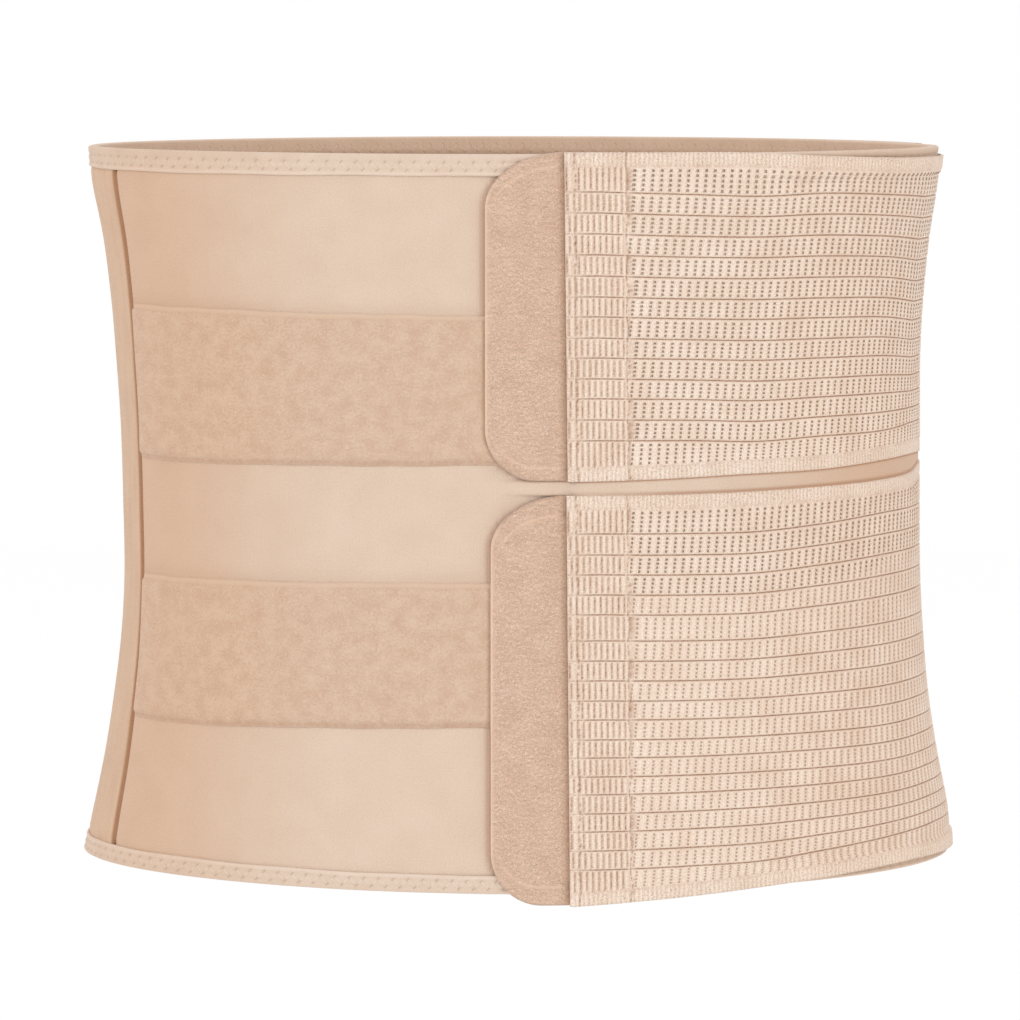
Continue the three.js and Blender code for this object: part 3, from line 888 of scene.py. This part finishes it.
def elastic_material():
    """Knitted elastic: light cords and small loops, with painted shade, dark brown, in the lines and holes.
    """
    elastic = Cloth("ribbed_elastic", 0.7, 0.2)
    shade = elastic.attribute("shade")
    fibre = elastic.noise(0.42, 2, stretch=(1, 0.8))
    tone = elastic.weighted(fibre, 0.75, elastic.noise(11, 2), 0.25)
    color = elastic.blend(elastic.range(tone, 0.32, 0.68), srgb(218, 192, 170), srgb(240, 224, 209))
    brown = elastic.blend(elastic.range(fibre, 0.3, 0.7), srgb(128, 84, 56), srgb(172, 126, 92))
    # The edges are woven in fine upright ribs, with painted shade in their troughs
    edge_band = elastic.attribute("band")
    bend = elastic.math("MULTIPLY_ADD", elastic.noise(2.4, 1), 1.1, elastic.split()[0])
    ribs = elastic.math("SINE", elastic.math("MULTIPLY", bend, 2 * math.pi / selvedge_pitch))
    sunk = elastic.math("MULTIPLY", elastic.range(ribs, -1, 0.2, 1, 0), edge_band)
    color = elastic.blend(elastic.math("MULTIPLY", sunk, 0.2), color, brown)
    specks = elastic.math("MULTIPLY", elastic.range(elastic.noise(0.75, 1), 0.56, 0.68), edge_band)
    color = elastic.blend(elastic.math("MULTIPLY", specks, 0.3), color, brown)
    # Painted shade towards the sides of the wrap, and the painted shade brown of the shade attribute
    color = elastic.shade_sides(elastic.blend(shade, color, brown), (1.0, 0.967, 0.94))
    height = elastic.math("MULTIPLY", fibre, elastic.math("SUBTRACT", 1, shade))
    return elastic.done(color, elastic.math("MULTIPLY_ADD", sunk, -0.5, height), 0.3)


elastic_cloth = elastic_material()
for which, seed in strap_seeds.items():
    name = which + "_elastic_strap"
    random = np.random.default_rng(seed)
    strap_start = float(along(angle_of(hem_start)))
    strap_length = float(along(strap_end)) - strap_start
    hem = float(along(angle_of(hem_start + hem_width))) - strap_start
    count = int((strap_length - hem) / hole_pitch)
    pitch = (strap_length - hem) / count
    # Columns: grooves of the hem first, then a cord and the two sides of a hole in turn
    hem_columns = np.concatenate([
        np.arange(0, hem - 1.8, groove_pitch / 4), np.arange(hem - 1.6, hem - 0.1, 0.25)])
    hole_columns = hem + pitch * (np.arange(count)[:, None] + np.array([0, *hole_sides])).reshape(-1)
    distances = np.concatenate([hem_columns, hole_columns, [strap_length]])
    no_holes = np.zeros(len(hem_columns), bool)
    hole_left = np.concatenate([no_holes, np.tile([False, True, False], count), [False]])
    angles = angle_at(strap_start + distances)
    levels = strap_levels(which, angles)
    height = np.array([level[0] for level in levels])
    kinds = [level[1] for level in levels]
    ribs = [level[2] for level in levels]
    distance = np.broadcast_to(distances, height.shape).copy()
    # Each rib's columns start a little further on or back than its neighbour's
    phases = random.uniform(-1.1, 1.1, len(rib_lines[which]) + 1)
    web = smoothstep(distances, hem, hem + 1.5)
    web = web * (1 - smoothstep(distances, strap_length - 3, strap_length - 0.5))
    for row, rib in enumerate(ribs):
        if rib >= 0:
            rib_rows = [r for r, other in enumerate(ribs) if other == rib]
            lean = (row - rib_rows[0]) / (len(rib_rows) - 1) - 0.5
            distance[row] += web * (phases[rib] + hole_slant * lean)
    # The hem leans a little: its upper end lies nearer the tab's free side
    down_share = (height[-1] - height) / (height[-1] - height[0])
    lean_by = tab_lean[which][0] + tab_lean[which][1] * down_share
    lean_by = lean_by * (1 - smoothstep(distance, hem, hem + 60))
    angle = angle_at(strap_start + distance + lean_by)
    in_web = smoothstep(distance, hem - 0.2, hem + 0.6)
    dark = np.zeros_like(height)
    band = np.zeros_like(height)
    hem_phases = random.uniform(-0.35, 0.35, len(rib_lines[which]) + 1)
    outward = strap_underside(angle, height) + elastic_thickness
    for row, kind in enumerate(kinds):
        d = distance[row]
        # Painted shade down in the groove of each dark line
        if kind == "line":
            fade = 0.35 + 0.65 * smoothstep(d, 2, 8)
            fade = fade * (1 - 0.75 * np.exp(-((d - hem - 0.3) / 0.8) ** 2))
            outward[row] -= line_depth
            dark[row] = line_shade * fade
        elif kind in ("edge", "selvedge", "border"):
            band[row] = 1
            if kind == "edge":
                outward[row] -= 0.7
            if kind == "border":
                outward[row] -= 0.12
                dark[row] = 0.3 * random.uniform(0.2, 1, len(d))
                band[row] = 0.5
        else:
            # Cords between the columns of holes stand a little proud. Painted shade lies along the
            # columns of holes, set per strap and more towards the side, and in the hem's grooves
            crest = np.cos(2 * math.pi * (d - hem - web * phases[ribs[row]]) / pitch)
            at_hole = hole_left | np.roll(hole_left, 1)
            in_front, more_at_side = column_shade[which]
            sunken = at_hole * (in_front + more_at_side * smoothstep(angle[row], 25, 60))
            outward[row] += in_web[row] * 0.1 * crest
            groove = 0.5 - 0.5 * np.cos(2 * math.pi * (d / groove_pitch + hem_phases[ribs[row]]))
            outward[row] -= (1 - in_web[row]) * 0.3 * groove ** 2
            grooved = (1 - in_web[row]) * (groove_shade * groove ** 2.2) * random.uniform(0.6, 1, len(d))
            dark[row] = grooved + in_web[row] * sunken
            if kind == "rib":
                outward[row] -= 0.05
                dark[row] = 0.1
    # The hem is folded double: it stands a little proud, rolls over at its end and is
    # pulled in by two rows of stitches
    fold = np.clip(distance / 1.4, 0, 1)
    outward = outward + 0.25 * (1 - smoothstep(distance, hem - 0.8, hem + 0.8))
    outward = outward - 0.9 * (1 - np.sqrt(np.clip(1 - (1 - fold) ** 2, 0, 1)))
    stitch_rows = (
        # distance from the hem's fold, half width
        (3.0, 0.4), (hem - 0.35, 0.26), (strap_length - 2.5, 0.4), (strap_length - 6.5, 0.4),
    )
    for seam, width in stitch_rows:
        outward = outward - 0.3 * np.exp(-((distance - seam) / 0.45) ** 2)
        wobble = np.exp(-((distance - seam - 0.3 * np.sin(height / 1.9)) / width) ** 2)
        pulled = np.sin(height * 2 * math.pi / stitch_pitch) > -0.2
        dark = np.maximum(dark, 0.8 * wobble * (0.35 + 0.65 * pulled))
        thread = np.exp(-((distance - seam + 0.75) / 0.32) ** 2)
        outward = outward + 0.12 * thread
        dark = dark * (1 - 0.8 * thread)
    # Beads of thread along the hem's fold, near its upper end
    beads = np.exp(-((distance - 0.6) / 0.3) ** 2) * (np.sin(height * 2 * math.pi / bead_pitch) > 0.1)
    dark = np.maximum(dark, 0.6 * beads * np.exp(-((height[-1] - height - 9) / 9) ** 2))
    random_light = random.uniform(0, 1, height.shape)
    dark = np.clip(dark * (0.85 + 0.3 * random_light), 0, 1)
    bm = cloth_grid(angle, height, outward, dark, band)
    # Each hole is pushed in and painted dark at its bottom, painted shade down in the hole
    columns = len(distances)
    bm.faces.ensure_lookup_table()
    hole_faces = []
    for row in range(len(levels) - 1):
        if kinds[row] == "hole_bottom" and kinds[row + 1] == "hole_top":
            for j in np.flatnonzero(hole_left):
                hole_faces.append(bm.faces[row * (columns - 1) + int(j)])
    bmesh.ops.inset_individual(bm, faces=hole_faces, thickness=hole_rim * mm, depth=-hole_depth * mm)
    shade = bm.verts.layers.float["shade"]
    for face in hole_faces:
        for vert in face.verts:
            vert[shade] = hole_shade
    # The plain inside is a coarser sheet, joined to the outer one along the long edges
    # and closed at both ends
    outer_edges = [edge for edge in bm.edges if edge.is_boundary]
    inner_rows = 9
    inner_share = np.linspace(0, 1, inner_rows)[:, None]
    inner_height = height[0] + (height[-1] - height[0]) * inner_share
    inner_angle = angle[0] + (angle[-1] - angle[0]) * inner_share
    inner_height = np.clip(inner_height, height[0] + 0.1, height[-1] - 0.1)
    inside_points = place(inner_angle, inner_height, strap_underside(inner_angle, inner_height))
    inner_grid = bmesh.ops.create_grid(bm, x_segments=columns - 1, y_segments=inner_rows - 1, size=1)
    inner_verts = inner_grid["verts"]
    for vert, point in zip(inner_verts, inside_points.reshape(-1, 3)):
        vert.co = point
    inner_faces = list({face for vert in inner_verts for face in vert.link_faces})
    bmesh.ops.reverse_faces(bm, faces=inner_faces)
    long_edges = []
    for row_start in (0, (inner_rows - 1) * columns):
        row_verts = set(inner_verts[row_start:row_start + columns])
        long_edges.append([e for e in {e for v in row_verts for e in v.link_edges}
                           if e.verts[0] in row_verts and e.verts[1] in row_verts])
    bm.verts.ensure_lookup_table()
    for row_start, inner_edge in zip((0, (len(levels) - 1) * columns), long_edges):
        row_verts = set(bm.verts[row_start:row_start + columns])
        outer_edge = [e for e in outer_edges if e.verts[0] in row_verts and e.verts[1] in row_verts]
        bmesh.ops.bridge_loops(bm, edges=outer_edge + inner_edge)
    ends = [edge for edge in bm.edges if edge.is_boundary]
    bmesh.ops.edgeloop_fill(bm, edges=ends)
    strap = finish_piece(bm, name, elastic_cloth, "strap_" + which)
